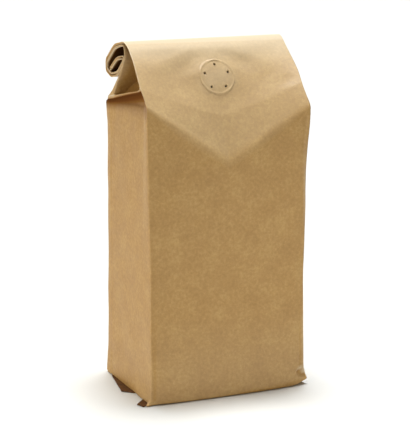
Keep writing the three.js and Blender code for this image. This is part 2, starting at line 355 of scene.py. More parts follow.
@dataclass(frozen=True)
class Cut:
    """Section values for a run of columns of one ring."""

    rows: np.ndarray

    def one(self, name: str) -> np.ndarray:
        """A single value for each column."""
        return self.rows[:, PLACES[name]][:, 0]

    def pair(self, name: str) -> np.ndarray:
        """A pair of values for each column."""
        return self.rows[:, PLACES[name]]

    def of(self, name: str, side: Side) -> np.ndarray:
        """The value of one panel's side out of a pair, for each column."""
        return self.pair(name)[:, side.index]

    def part(self, columns: slice) -> Cut:
        """The same cut for fewer columns."""
        return Cut(self.rows[columns])


@dataclass(frozen=True)
class RollCorner:
    """A corner of the rolled band in the YZ plane, on its outer face."""

    y: float
    z: float
    round: float
    thick: float


class ColumnKind(Enum):
    """What part of the ring a column belongs to."""

    PANEL = "panel"
    TURN = "turn"
    FLANGE = "flange"
    POCKET = "pocket"


@dataclass(frozen=True)
class Columns:
    """A run of columns round the ring with one role."""

    kind: ColumnKind
    side: Side
    hand: int                        # -1 left, 1 right
    t: np.ndarray


@dataclass(frozen=True)
class Tug:
    """A soft local pull on the paper."""

    centre: Triple
    reach: Triple
    move: Triple
    gusset_only: bool = False        # leave the front and back panels where they are

    def shift(self, points: np.ndarray) -> np.ndarray:
        """How far each point moves.

        Args:
            points: an array of points, last axis x, y, z.

        Returns:
            The moves, in the same layout.
        """
        away = (points - np.array(self.centre)) / np.array(self.reach)
        weight = np.clip(1.0 - (away ** 2).sum(axis=-1), 0.0, 1.0) ** 2
        return weight[..., None] * np.array(self.move)


@dataclass(frozen=True)
class Groove:
    """A crease or soft fold along a straight line on the paper."""

    start: Triple
    end: Triple
    width: float                     # from its middle to where it has died out
    push: Triple                     # move of its middle line
    taper: bool = True               # fade out towards both ends
    gusset_only: bool = False
    painted_shade_and_paling: float = 0.0                # painted shade that darkens its line; where negative it pales it: painted highlight on folds and edges, painted light at the foot, a paler patch over the valve

    def weight(self, points: np.ndarray) -> np.ndarray:
        """One on the middle line and nought beyond the width, for each point."""
        start, along = np.array(self.start), np.subtract(self.end, self.start)
        t = np.clip(((points - start) @ along) / (along @ along), 0.0, 1.0)
        away = np.linalg.norm(points - start - t[..., None] * along, axis=-1) / self.width
        weight = np.clip(1.0 - away ** 2, 0.0, 1.0) ** 2
        if self.taper:
            weight = weight * np.sin(np.pi * np.clip(t, 0.06, 0.94)) ** 0.7
        return weight

    def shift(self, points: np.ndarray) -> np.ndarray:
        """How far each point moves.

        Args:
            points: an array of points, last axis x, y, z.

        Returns:
            The moves, in the same layout.
        """
        return self.weight(points)[..., None] * np.array(self.push)


@dataclass(frozen=True)
class Undulation:
    """Broad shallow waves of a paper wall that beans press against from inside."""

    seed: int = 7
    waves: int = 26
    shortest: float = 22.0           # wavelengths
    longest: float = 60.0
    depth: float = 0.05              # of each wave

    def shift(self, points: np.ndarray) -> np.ndarray:
        """How far each point moves.

        Args:
            points: an array of points, last axis x, y, z.

        Returns:
            The moves, in the same layout.
        """
        rng = np.random.default_rng(self.seed)
        height = np.zeros(points.shape[:-1])
        for _ in range(self.waves):
            heading = rng.normal(size=3)
            heading /= np.linalg.norm(heading)
            length = rng.uniform(self.shortest, self.longest)
            height += np.sin((points @ heading) * (2.0 * np.pi / length) + rng.uniform(0.0, 2.0 * np.pi))
        flat = np.zeros_like(points)
        sideways = np.abs(points[..., 0]) > 52.0
        flat[..., 0] = np.where(sideways, np.sign(points[..., 0]) * height, 0.0)
        flat[..., 1] = np.where(sideways, 0.0, height)
        return flat * self.depth


@dataclass
class PaperSleeve:
    """The paper itself: panels, gussets, folded shoulders and rolled top as one closed skin."""

    name: str = "paper_sleeve"
    half_width: float = 55.0
    half_depth: float = 38.0
    fold_depth: float = 38.0
    shoulder_height: float = 188.0
    crest_height: float = 228.9
    crest_depth: float = 3.0
    crease_drop: float = 36.8
    belly: float = 3.6
    back_belly: float = 4.5
    skew: float = 2.1                # the front panel stands further forward at the left, by this either way
    ply: float = 0.6                 # two plies pressed together
    roll_fill: float = 0.8           # how much of the rolled band's edge the folded gussets close
    lift: float = 0.3                # the walls' lower edges stand on the folded seals
    foot_inset: float = 2.5
    flange_columns: int = 22
    middle_columns: int = 50
    pocket_columns: int = 14
    turn_columns: int = 5
    pitch_wall: float = 1.75         # spacing of the rows along the bag
    pitch_gable: float = 0.75
    pitch_roll: float = 1.3
    turn_rows: int = 5
    base_rows: int = 12
    seam_edge: float = 6.0           # half width of the lap seam down the back
    seam_step: float = 0.35
    roll: Sequence[RollCorner] = field(default_factory=lambda: (
        RollCorner(3.0, 229.0, 4.6, 2.6), RollCorner(21.6, 225.6, 6.0, 3.6),
        RollCorner(38.3, 213.6, 3.0, 3.6), RollCorner(38.2, 205.8, 2.4, 3.2),
        RollCorner(27.5, 202.6, 3.0, 3.2), RollCorner(15.0, 205.2, 4.0, 3.2),
        RollCorner(3.6, 214.6, 2.4, 2.8),
        RollCorner(3.6, 219.8, 2.4, 2.4), RollCorner(17.0, 217.6, 5.0, 2.3),
        RollCorner(31.0, 208.6, 0.0, 2.3),
    ))
    shaping: Sequence[Tug | Groove | Undulation] = field(default_factory=lambda: (
        Undulation(),
        # the gusset tucks in behind the front panel's edge, and falls away behind its lip
        Groove((-52.5, -37.5, 186.5), (-53.5, -26.0, 202.5), 7.5, (1.2, 1.2, 0.0), gusset_only=True),
        Groove((-54.0, 32.0, 185.6), (-53.0, -32.0, 196.6), 4.5, (1.8, 0.0, 0.0), gusset_only=True),
        Groove((-55.7, 30.0, 189.9), (-55.7, -28.0, 201.2), 2.2, (-1.3, 0.0, 0.3), gusset_only=True),
        Groove((-54.0, 28.0, 181.0), (-52.5, -34.0, 190.5), 9.0, (0.4, 0.0, 0.0), gusset_only=True),
        Groove((53.0, -37.5, 186.5), (53.5, -26.0, 202.5), 7.5, (-1.2, 1.2, 0.0), gusset_only=True),
        Groove((54.0, 32.0, 186.0), (53.0, -32.0, 197.0), 5.5, (-1.8, 0.0, 0.0), gusset_only=True),
        Tug((-55.0, 35.0, 189.0), (8.0, 12.0, 20.0), (-1.0, 0.4, 0.0)),
        Tug((-56.0, 38.4, 6.0), (8.0, 12.0, 18.0), (-1.0, 0.3, 0.0)),
        Tug((56.0, -38.0, 145.0), (9.0, 16.0, 40.0), (-0.8, 0.0, 0.0)),
        # ear and dimple at the front right bottom corner, and the flared rim at the left one; painted shade along
        # the ear's fold, painted highlight on the fold above it
        Tug((54.6, -38.9, 3.4), (10.0, 12.0, 8.5), (2.6, 0.0, 0.0)),
        Tug((56.0, -39.5, 0.0), (9.0, 12.0, 4.0), (-0.6, 1.5, 1.2)),
        Tug((51.0, -40.0, 9.0), (3.4, 4.0, 3.0), (-0.3, 2.0, 0.0)),
        Groove((50.0, -39.8, 8.4), (59.0, -38.5, 4.6), 2.1, (-0.1, 1.9, -0.2), taper=False, painted_shade_and_paling=0.12),
        Groove((51.5, -39.8, 11.2), (59.0, -38.5, 7.4), 2.2, (0.0, -0.3, 0.0), taper=False, painted_shade_and_paling=-0.8),
        # the patch over the valve plate is made a little paler
        Groove((-4.0, -22.0, 205.0), (5.0, -22.0, 206.0), 13.0, (0.0, 0.0, 0.0), taper=False, painted_shade_and_paling=-0.13),
        # painted light: the paper is made a little paler towards the foot, as if lit from low in front
        Groove((-58.0, -44.0, 4.0), (56.0, -42.0, 4.0), 60.0, (0.0, 0.0, 0.0), taper=False, painted_shade_and_paling=-0.08),
        Tug((57.0, -39.5, 0.3), (6.0, 5.0, 2.6), (-2.4, 1.2, 2.0)),
        # painted shade in the dimple and along the turned-under foot of the front panel
        Groove((50.4, -39.9, 9.0), (51.4, -39.8, 9.0), 2.0, (0.0, 0.0, 0.0), taper=False, painted_shade_and_paling=0.35),
        Groove((6.0, -43.9, 0.9), (55.0, -39.7, 1.5), 2.2, (0.0, 0.0, 0.0), painted_shade_and_paling=0.25),
        Groove((40.0, -42.0, 2.6), (57.0, -39.0, 2.6), 2.0, (0.0, 0.8, 0.2)),
        Tug((-57.0, -43.2, 0.0), (5.5, 6.0, 3.6), (-4.4, -2.8, 0.0)),
        Tug((-46.0, -44.4, 21.0), (10.0, 8.0, 9.0), (0.0, -0.9, 0.0)),
        Tug((-38.0, -44.4, 11.0), (12.0, 8.0, 6.0), (0.0, -0.5, 0.0)),
        Tug((47.0, -42.4, 24.0), (12.0, 8.0, 15.0), (0.0, -0.9, 0.0)),
        # the paper bends over the top of the stiff valve plate
        Groove((-32.0, -18.0, 211.0), (-6.0, -10.5, 218.0), 8.5, (0.0, 0.9, -0.7)),
        Groove((-32.0, -25.0, 204.5), (-8.0, -19.0, 210.5), 18.0, (0.0, 1.1, -0.9)),
        Groove((8.0, -10.5, 218.0), (28.0, -15.5, 212.0), 7.5, (0.0, 0.7, -0.55)),
        Groove((10.0, -15.0, 214.0), (30.0, -20.0, 208.0), 13.0, (0.0, 0.6, -0.5)),
        Groove((-53.0, -37.0, 190.8), (1.0, -41.5, 154.0), 5.0, (0.0, -0.6, 0.3)),
        Groove((40.0, -39.5, 180.5), (1.0, -41.5, 154.0), 5.0, (0.0, -0.4, 0.2)),
        Tug((0.6, -21.0, 204.0), (24.0, 14.0, 14.0), (0.0, -0.7, 0.5)),
        Groove((41.0, -25.5, 200.5), (53.0, -25.0, 204.0), 6.0, (0.0, 0.2, -0.2)),
        # creases beside the upright edges, where the flat bag was folded; painted shade in the front ones, a painted
        # highlight along the right edge
        Groove((-53.2, -43.4, 4.0), (-53.2, -41.0, 180.0), 2.0, (0.0, 0.3, 0.0), taper=False, painted_shade_and_paling=0.08),
        Groove((51.8, -39.6, 9.0), (52.6, -40.4, 180.0), 1.9, (0.0, 0.55, 0.0), taper=False, painted_shade_and_paling=0.1),
        Groove((54.1, -38.9, 11.0), (54.3, -39.3, 180.0), 1.5, (0.0, 0.0, 0.0), painted_shade_and_paling=-0.45),
        Groove((-57.0, 24.5, 3.0), (-54.7, 23.0, 176.0), 1.9, (-0.4, 0.0, 0.0), gusset_only=True),
        Groove((-57.0, 32.5, 3.0), (-54.7, 31.5, 176.0), 1.9, (-0.4, 0.0, 0.0), gusset_only=True),
        Groove((-57.0, -1.0, 10.0), (-54.7, -1.0, 178.0), 2.4, (-0.2, 0.0, 0.0), gusset_only=True),
        Groove((54.6, -1.0, 10.0), (55.0, -1.0, 178.0), 2.4, (0.2, 0.0, 0.0), gusset_only=True),
    ))

    # ------------------------------------------------ sections

    def wall_sections(self) -> list[Section]:
        """Foot, heel and walls up to the shoulders."""
        foot = self.half_depth - self.foot_inset
        swell = {"front_swell": (-self.belly, 0.0), "back_swell": (self.back_belly, 0.0), "power": 3.2,
                 "twist": (self.skew, 0.0)}
        return [
            Section(front=(-foot - self.skew, self.lift), back=(foot, self.lift), strip=(3.0, 3.0),
                    left=54.8, right=52.4, **swell),
            Section(front=(-41.0, self.lift), back=(38.4, self.lift), left=56.2, right=54.6, round=2.0,
                    **swell),
            Section(front=(-41.0, 13.0), back=(38.4, 13.0), left=55.4, right=54.5, round=6.0, **swell),
            Section(front=(-40.4, 46.0), back=(38.2, 46.0), left=54.8, right=54.4, front_swell=(-0.5, -2.0),
                    back_swell=(self.back_belly, -1.0), power=3.0, twist=(2.4, 0.0), round=18.0),
            Section(front=(-39.8, 90.0), back=(38.0, 100.0), left=54.6, right=54.3,
                    front_swell=(0.2, -5.0), back_swell=(self.back_belly, -4.0), twist=(2.4, 0.0),
                    power=2.8, round=30.0),
            Section(front=(-38.5, self.shoulder_height + 1.6), back=(37.3, self.shoulder_height - 2.0),
                    left=54.8, right=56.8, front_swell=(-1.2, -self.crease_drop),
                    back_swell=(4.0, -23.0), power=1.06, twist=(-1.8, -2.2), strip=(3.0, 5.0),
                    fold=(2.6, 1.0), margin=(12.0, 13.0), round=2.4, soften=1.4),
        ]

    def gable_sections(self) -> list[Section]:
        """From the shoulders to the crest: each gusset folds in between the panels."""
        ply = self.ply
        return [
            Section(front=(-35.1, 194.6), back=(33.8, 187.4), left=55.2, right=56.0,
                    front_swell=(0.7, -25.5), back_swell=(2.0, -19.0), power=1.12, twist=(-0.6, -0.6),
                    strip=(2.0, 7.0), fold=(4.4, 1.2), margin=(9.0, 13.0), round=2.0),
            Section(front=(-29.8, 201.3), back=(31.2, 188.9), left=55.7, right=55.5,
                    front_swell=(0.4, -18.6), back_swell=(1.0, -15.8), power=1.15, twist=(-0.8, -1.2),
                    strip=(1.6, 13.0), fold=(0.9, -0.4), margin=(8.0, 15.0), edge=0.6, round=0.5),
            Section(front=(-28.6, 202.6), back=(29.8, 190.8), left=55.7, right=55.5,
                    front_swell=(0.5, -17.4), back_swell=(0.9, -14.4), power=1.15, twist=(-0.9, -1.3),
                    strip=(1.2, 11.0), fold=(8.5, 5.0), margin=(3.0, 13.0), edge=0.6, round=0.6),
            Section(front=(-23.5, 208.0), back=(19.6, 199.2), left=55.3, right=55.9, front_swell=(1.2, -10.6),
                    back_swell=(0.5, -8.0), power=1.3, twist=(-0.9, -1.7), strip=(1.0, 3.5),
                    fold=(13.0, 10.0), margin=(ply + 0.4, 4.5), edge=0.6, round=2.0),
            Section(front=(-16.6, 214.8), back=(8.6, 209.4), right=55.9, front_swell=(1.0, -2.4),
                    back_swell=(0.0, -3.0), power=1.6, twist=(-0.5, -2.0), strip=(ply, ply),
                    fold=(22.0, 20.0), margin=(ply, ply), edge=0.5, round=4.0),
            Section(front=(-5.0, 224.4), back=(1.9, 217.8), front_swell=(-0.5, 0.2),
                    twist=(0.0, -1.5), strip=(ply, ply), fold=(35.0, 34.0), margin=(ply, ply),
                    edge=0.3, round=3.5),
        ]

    def roll_sections(self) -> list[Section]:
        """Across the rolled band, each one square to it or along the mitre of a corner."""
        before = Vector((self.crest_depth - 9.0, self.crest_height - 3.5))
        spots = [before, *(Vector((c.y, c.z)) for c in self.roll)]
        made = []
        for i, corner in enumerate(self.roll, start=1):
            into = (spots[i] - spots[i - 1]).normalized()
            out_of = (spots[i + 1] - spots[i]).normalized() if i + 1 < len(spots) else into
            mitre = Vector((into.y + out_of.y, -into.x - out_of.x))
            mitre *= corner.thick / (1.0 + into.dot(out_of))
            closed = self.roll_fill * corner.thick / 2.0
            made.append(Section(
                front=(corner.y, corner.z), back=(corner.y + mitre.x, corner.z + mitre.y),
                strip=(closed, closed), fold=(self.fold_depth, self.fold_depth),
                margin=(closed, closed), edge=self.ply * 0.4, round=corner.round))
        return made

    # ------------------------------------------------ columns round the bag

    def column_runs(self) -> list[Columns]:
        """The ring's columns: front left to right, right gusset, back right to left, left gusset."""
        share = self.fold_depth / (2.0 * self.half_width)
        flange = np.linspace(0.0, share, self.flange_columns, endpoint=False)
        middle = np.linspace(share, 1.0 - share, self.middle_columns, endpoint=False)
        panel = np.concatenate([flange, middle, 1.0 - flange[::-1] - share / self.flange_columns, [1.0]])
        panel = np.unique(np.round(panel, 9))
        turn = np.linspace(0.0, 1.0, self.turn_columns + 1)[1:]
        inward = np.linspace(0.0, 1.0, self.flange_columns + 1)
        pocket = np.linspace(0.0, 1.0, self.pocket_columns + 1)[1:-1]

        def gusset(hand: int, first: Side) -> list[Columns]:
            """One gusset's columns, starting from the first panel."""
            last = first.other
            across = pocket if first is Side.FRONT else 1.0 - pocket
            return [
                Columns(ColumnKind.TURN, first, hand, turn), Columns(ColumnKind.FLANGE, first, hand, inward),
                Columns(ColumnKind.POCKET, first, hand, across),
                Columns(ColumnKind.FLANGE, last, hand, inward[::-1]),
                Columns(ColumnKind.TURN, last, hand, turn[::-1]),
            ]

        return [
            Columns(ColumnKind.PANEL, Side.FRONT, 0, panel), *gusset(1, Side.FRONT),
            Columns(ColumnKind.PANEL, Side.BACK, 0, panel[::-1]), *gusset(-1, Side.BACK),
        ]

    def panel_at(self, cut: Cut, x: np.ndarray, side: Side) -> np.ndarray:
        """Where a panel is at x.

        Args:
            cut: section values, one row for each x.
            x: across the bag.
            side: which panel.

        Returns:
            y and z, one row for each x.
        """
        width = np.where(x < 0.0, cut.one("left"), cut.one("right"))
        full = 1.0 - np.minimum(1.0, np.abs(x) / width) ** cut.one("power")
        if side is Side.BACK:
            return cut.pair("back") + cut.pair("back_swell") * full[:, None]
        turned = cut.pair("twist") * (x / self.half_width)[:, None]
        return cut.pair("front") + cut.pair("front_swell") * full[:, None] + turned

    def stand_off(self, cut: Cut, x: np.ndarray, side: Side, off: np.ndarray, zipped: bool) -> np.ndarray:
        """Points that stand off a panel towards the other one.

        Args:
            cut: section values, one row for each x.
            x: across the bag.
            side: the panel that the points stand off.
            off: how far.
            zipped: close the sleeve, as at the mouth's end.

        Returns:
            x, y and z, one row for each x.
        """
        here, there = self.panel_at(cut, x, side), self.panel_at(cut, x, side.other)
        gap = np.linalg.norm(there - here, axis=1)
        if zipped:
            inward = np.clip((self.half_width - np.abs(x)) / self.fold_depth, 0.0, 1.0)
            ease = inward * inward * (3.0 - 2.0 * inward)
            off = self.ply / 2.0 + (gap / 2.0 - self.ply / 2.0) * ease
        return np.column_stack([x, here + (there - here) * (off / gap)[:, None]])

    def run_points(self, run: Columns, cut: Cut, zipped: bool) -> np.ndarray:
        """Points of one run of columns on one ring."""
        edge = cut.one("edge") * (0.0 if zipped else 1.0)
        if run.kind is ColumnKind.PANEL:
            start, end = -cut.one("left") + edge, cut.one("right") - edge
            x = start + (end - start) * run.t
            raised = np.clip((x + self.seam_edge) / 2.5, 0.0, 1.0) * (x < self.seam_edge)
            off = -self.seam_step * raised if run.side is Side.BACK else 0.0 * x
            return self.stand_off(cut, x, run.side, off, zipped)
        outer = run.hand * (cut.one("right") if run.hand > 0 else cut.one("left"))

        def flange(side: Side, t: np.ndarray) -> np.ndarray:
            """Points of a folded gusset half, t from its side edge to its fold."""
            strip, margin = cut.of("strip", side), cut.of("margin", side)
            return self.stand_off(cut, outer - run.hand * cut.of("fold", side) * t, side,
                                  strip + (margin - strip) * t, zipped)

        if run.kind is ColumnKind.FLANGE:
            return flange(run.side, run.t)
        if run.kind is ColumnKind.POCKET:
            ones = np.ones(run.t.size)
            front, back = flange(Side.FRONT, ones), flange(Side.BACK, ones)
            return front + (back - front) * run.t[:, None]
        t = run.t[:, None]
        none = np.zeros(run.t.size)
        on_panel = self.stand_off(cut, outer - run.hand * edge, run.side, none, zipped)
        tip = self.stand_off(cut, outer, run.side, none, zipped)
        inset = 0.9 * np.minimum(edge, cut.of("strip", run.side))
        on_side = self.stand_off(cut, outer, run.side, inset, zipped)
        near, far = on_panel + (tip - on_panel) * t, tip + (on_side - tip) * t
        return near + (far - near) * t

    def ring(self, runs: Sequence[Columns], cut: Cut, zipped: bool = False) -> np.ndarray:
        """One ring of points round the bag."""
        parts, start = [], 0
        for run in runs:
            stop = start + run.t.size
            parts.append(self.run_points(run, cut.part(slice(start, stop)), zipped))
            start = stop
        return np.concatenate(parts)

    # ------------------------------------------------ rows along the bag

    def fullness(self, runs: Sequence[Columns]) -> np.ndarray:
        """One in the middle of a panel and nought on the gussets, for each column."""
        return np.concatenate([
            1.0 - np.abs(2.0 * run.t - 1.0) ** 5 if run.kind is ColumnKind.PANEL else 0.0 * run.t
            for run in runs])

    def cuts(self, runs: Sequence[Columns]) -> list[tuple[float, Cut]]:
        """The cuts along the bag, each with its station: the number of sections that lie below it."""
        groups = [(self.wall_sections(), self.pitch_wall), (self.gable_sections(), self.pitch_gable),
                  (self.roll_sections(), self.pitch_roll)]
        sections = [section for group, _ in groups for section in group]
        pitches = [pitch for group, pitch in groups for _ in group]
        values = [section.values() for section in sections]
        reach = [math.dist(a.front, b.front) for a, b in zip(sections, sections[1:])]
        full = self.fullness(runs)

        def share(i: int, length: float) -> np.ndarray:
            """How far along a run of this length the rounding of corner i reaches, for each column."""
            radius = sections[i].round + sections[i].soften * full
            return np.minimum(0.48, radius / length)[:, None]

        made = []
        last = len(sections) - 1
        for i, value in enumerate(values):
            start = value + (values[i - 1] - value) * share(i, reach[i - 1]) if i else value + 0 * full[:, None]
            end = value + (values[i + 1] - value) * share(i, reach[i]) if i < last else value + 0 * full[:, None]
            steps = self.turn_rows if sections[i].round > 0.0 else 0
            for k in range(steps):
                t = k / steps
                a, b = start + (value - start) * t, value + (end - value) * t
                made.append((i - 0.15 + 0.3 * t, Cut(a + (b - a) * t)))
            made.append((i + 0.15, Cut(end)))
            if i == last:
                break
            run_end = values[i + 1] + (value - values[i + 1]) * share(i + 1, reach[i])
            free = reach[i] - sections[i].round - sections[i + 1].round
            count = max(1, round(free / pitches[i + 1]))
            made += [(i + 0.15 + 0.7 * k / count, Cut(end + (run_end - end) * (k / count))) for k in range(1, count)]
            if sections[i + 1].round == 0.0:
                break
        return made

    # ------------------------------------------------ the skin

    def base_points(self, foot: np.ndarray) -> list[np.ndarray]:
        """Rings that draw the foot in to the seal line under the bag."""
        seal = foot.copy()
        seal[:, 0] = np.clip(foot[:, 0], -17.0, 17.0)
        seal[:, 1] *= 0.004
        seal[:, 2] = self.lift + 1.1
        return [foot + (seal - foot) * (1.0 - k / self.base_rows) for k in range(self.base_rows)]

    def points(self, runs: Sequence[Columns]) -> tuple[np.ndarray, np.ndarray]:
        """All points of the skin, as rows along the bag by columns round it, and each row's station."""
        stations, cuts = zip(*self.cuts(runs))
        rings = [self.ring(runs, cut) for cut in cuts]
        rings = self.base_points(rings[0]) + rings
        tail, mouth = cuts[-2].rows, cuts[-1].rows
        beyond = mouth + (mouth - tail) * (1.3 / self.pitch_roll)
        rings.append(self.ring(runs, Cut(beyond), zipped=True))
        return np.array(rings), np.array([*[-1.0] * self.base_rows, *stations, stations[-1]])

    def gusset_share(self, runs: Sequence[Columns]) -> np.ndarray:
        """One on the gussets and nought on the panels, for each column."""
        shares = {ColumnKind.PANEL: lambda t: 0.0 * t, ColumnKind.TURN: lambda t: t * t}
        return np.concatenate([shares.get(run.kind, np.ones_like)(run.t) for run in runs])

    def shaped(self, points: np.ndarray, gusset: np.ndarray) -> np.ndarray:
        """The points after every dent, crease and pull."""
        free = 1.0 - np.clip((points[..., 1:2] - 4.0) / 4.0, 0.0, 1.0) * (points[..., 2:3] > 202.0)
        moved = points
        for shape in self.shaping:
            shift = shape.shift(points)
            if isinstance(shape, Undulation):
                shift = shift * free
            elif shape.gusset_only:
                shift = shift * gusset[:, None]
            moved = moved + shift
        return moved

    def edge_share(self, runs: Sequence[Columns]) -> np.ndarray:
        """One on the side edges, less on the gusset strip beside the back ones, and nought elsewhere."""
        def share(run: Columns) -> np.ndarray:
            """The shares of one run of columns."""
            if run.kind is ColumnKind.TURN:
                return np.sin(np.pi * run.t)
            if run.kind is ColumnKind.FLANGE and run.side is Side.BACK:
                return 0.6 * np.clip(1.0 - run.t / 0.3, 0.0, 1.0)
            return 0.0 * run.t

        return np.concatenate([share(run) for run in runs])

    def wear_and_highlight(self, stations: np.ndarray, gusset: np.ndarray, edges: np.ndarray) -> np.ndarray:
        """Painted highlight and sheen, with fibre rubbed pale on the folds: most on the crest and the rolled plies'
        edges, some on the upper slopes and a line along the lip.
        """
        shoulder = len(self.wall_sections()) - 1.0
        crest = shoulder + len(self.gable_sections()) + 1.0
        slope = np.clip((stations - shoulder) / (crest - shoulder), 0.0, 1.0)
        top = np.clip(1.0 - np.abs(stations - crest) / 2.2, 0.0, 1.0)
        above = np.clip((stations - shoulder + 0.15) / 0.3, 0.0, 1.0)
        on_panel = (0.2 * above + 0.06 * slope ** 2 + 0.42 * top)[:, None] * (1.0 - gusset)
        lip = np.clip(1.0 - np.abs(stations - shoulder - 2.15) / 0.2, 0.0, 1.0)[:, None] * gusset
        return np.clip(on_panel + 0.9 * lip + edges * (0.05 + 0.55 * slope)[:, None], 0.0, 1.0)

    def painted_shade(self, stations: np.ndarray, runs: Sequence[Columns], points: np.ndarray,
             gusset: np.ndarray) -> np.ndarray:
        """Painted shade: how darkly a place is coloured as if unlit,
        in the slits and hollows of the roll and the gussets, under the lip and along the right edges.

        Args:
            stations: of the rows.
            runs: the ring's columns.
            points: the skin before it is shaped.
            gusset: one on the gussets and nought on the panels, for each column.

        Returns:
            Nought to one, rows by columns.
        """
        above = (stations - len(self.wall_sections()) + 1.0)[:, None]
        past = above - 1.0 - len(self.gable_sections())
        between = np.interp(past, (-0.5, 0.3, 4.0, 4.6, 6.0, 6.5), (0.0, 0.75, 0.75, 0.4, 0.4, 0.9))
        inside = np.interp(past, (0.1, 0.6, 3.5, 5.0), (0.0, 0.9, 0.7, 0.9))
        outside = np.interp(past, (4.6, 5.0, 6.0, 6.4), (0.0, 0.2, 0.2, 1.0))
        pocket = np.interp(above, (2.1, 2.6, 5.0, 6.5), (0.0, 0.1, 0.12, 0.16))
        shaded_edge = np.interp(above, (-1.6, -0.5, 5.0, 6.0), (0.0, 0.4, 0.4, 0.0))
        parts = []
        for run in runs:
            if run.kind is ColumnKind.PANEL:
                hidden = np.minimum(run.t, 1.0 - run.t) > 0.0
                parts.append((inside if run.side is Side.BACK else outside) * hidden)
            elif run.kind is ColumnKind.TURN:
                parts.append(shaded_edge * (run.hand > 0) * np.sin(np.pi * run.t))
            elif run.kind is ColumnKind.FLANGE:
                parts.append((between + pocket) * np.clip(run.t / 0.1, 0.0, 1.0))
            else:
                parts.append(between + pocket + 0.0 * run.t)
        below = np.interp(points[..., 1], (-29.0, 31.0), (202.5, 189.3)) - points[..., 2]
        fade = np.interp(points[..., 1], (-38.0, 30.0), (22.0, 9.0))
        under_lip = np.interp(below, (0.8, 1.8, 3.5, 8.0), (0.0, 0.78, 0.64, 0.46)) * np.clip(1.5 * (1.0 - below / fade), 0.0, 1.0)
        return np.clip(np.concatenate(parts, axis=1) + under_lip * gusset, 0.0, 1.0)

    def build(self, finish: bpy.types.Material, cavity: bpy.types.Material,
              valve: ValveImprint) -> bpy.types.Object:
        """Make the skin's mesh object.

        Args:
            finish: the paper.
            cavity: what shows through the pinholes.
            valve: the imprint on the front panel.

        Returns:
            The skin, in place.
        """
        runs = self.column_runs()
        gusset, edges = self.gusset_share(runs), self.edge_share(runs)
        plain, stations = self.points(runs)
        points = self.shaped(plain, gusset)
        rows, columns = points.shape[:2]
        log.info("%s: %d rows by %d columns", self.name, rows, columns)
        wrapped = np.concatenate([points, points[:, :1]], axis=1).reshape(-1, 3)
        bm = bmesh.new()
        bmesh.ops.create_grid(bm, x_segments=columns, y_segments=rows - 1, size=1.0)
        for vertex, point in zip(bm.verts, wrapped):
            vertex.co = point
        lines = [shape for shape in self.shaping if isinstance(shape, Groove) and shape.painted_shade_and_paling]
        painted_shade_and_paling = sum(line.painted_shade_and_paling * line.weight(plain) for line in lines)
        amounts = {"wear_and_highlight": np.clip(self.wear_and_highlight(stations, gusset, edges) - np.minimum(painted_shade_and_paling, 0.0), 0.0, 1.0),
                   "painted_shade": np.clip(self.painted_shade(stations, runs, plain, gusset) + np.maximum(painted_shade_and_paling, 0.0), 0.0, 1.0)}
        for name, amount in amounts.items():
            layer = bm.verts.layers.float.new(name)
            for vertex, value in zip(bm.verts, np.concatenate([amount, amount[:, :1]], axis=1).ravel()):
                vertex[layer] = value
        bmesh.ops.remove_doubles(bm, verts=bm.verts, dist=1e-4)
        bmesh.ops.recalc_face_normals(bm, faces=bm.faces)
        valve.press(bm)
        return finish_piece(bm, self.name, finish, cavity)


@dataclass
class ValveImprint:
    """The one-way valve behind the front panel: its rim presses a ring into the paper, pierced inside."""

    across: float = 0.6
    height: float = 206.1
    radius: float = 11.5
    width: float = 1.4
    relief: float = 0.5
    pinholes: int = 5
    pinhole_circle: float = 8.4
    pinhole: float = 0.72
    pinhole_depth: float = 1.4

    def press(self, bm: bmesh.types.BMesh) -> None:
        """Refine the paper round the valve, raise the ring and sink the pinholes."""
        reach = self.radius + self.width
        spot = Vector((self.across, 0.0, self.height))
        near = [v for v in bm.verts if v.co.y < 0.0 and (v.co - spot).xz.length < 3.0]
        centre = min(near, key=lambda v: (v.co - spot).xz.length).co.copy()
        normal = sum((v.normal for v in near), Vector()).normalized()
        up = Vector((0.0, 0.0, 1.0))
        up = (up - normal * up.dot(normal)).normalized()
        right = up.cross(normal) * -1.0

        def flat(point: Vector) -> Vector:
            """A point in the plane of the ring, as across and up."""
            return Vector(((point - centre).dot(right), (point - centre).dot(up)))

        def refine(middle: Vector, radius: float, cuts: int) -> None:
            """Divide the faces of the front panel near a place."""
            faces = [f for f in bm.faces if f.normal.dot(normal) > 0.5
                     and (f.calc_center_median() - centre).length < reach * 1.5
                     and (flat(f.calc_center_median()) - middle).length < radius]
            edges = list({e for f in faces for e in f.edges})
            bmesh.ops.subdivide_edges(bm, edges=edges, cuts=cuts, use_grid_fill=True)

        refine(Vector((0.0, 0.0)), reach, 1)
        holes = [Vector((math.sin(a), math.cos(a))) * self.pinhole_circle
                 for a in (2.0 * math.pi * k / self.pinholes for k in range(self.pinholes))]
        for hole in holes:
            refine(hole, 1.1, 3)
        for vertex in bm.verts:
            if (vertex.co - centre).length > reach * 1.5 or vertex.normal.dot(normal) < 0.5:
                continue
            place = flat(vertex.co)
            off = (place.length - self.radius) / (self.width / 2.0)
            lift = self.relief * max(0.0, 1.0 - off * off) ** 2
            nearest = min((place - hole).length for hole in holes)
            rim = max(0.0, 1.0 - ((nearest - self.pinhole * 1.4) / 0.35) ** 2) * 0.1
            sink = self.pinhole_depth * min(1.0, max(0.0, 1.0 + (self.pinhole - nearest) / 0.16))
            vertex.co += normal * (lift + rim - sink)
        for face in bm.faces:
            middle = face.calc_center_median()
            if (middle - centre).length < reach * 1.5 and face.normal.dot(normal) > 0.3:
                if min((flat(middle) - hole).length for hole in holes) < self.pinhole:
                    face.material_index = 1


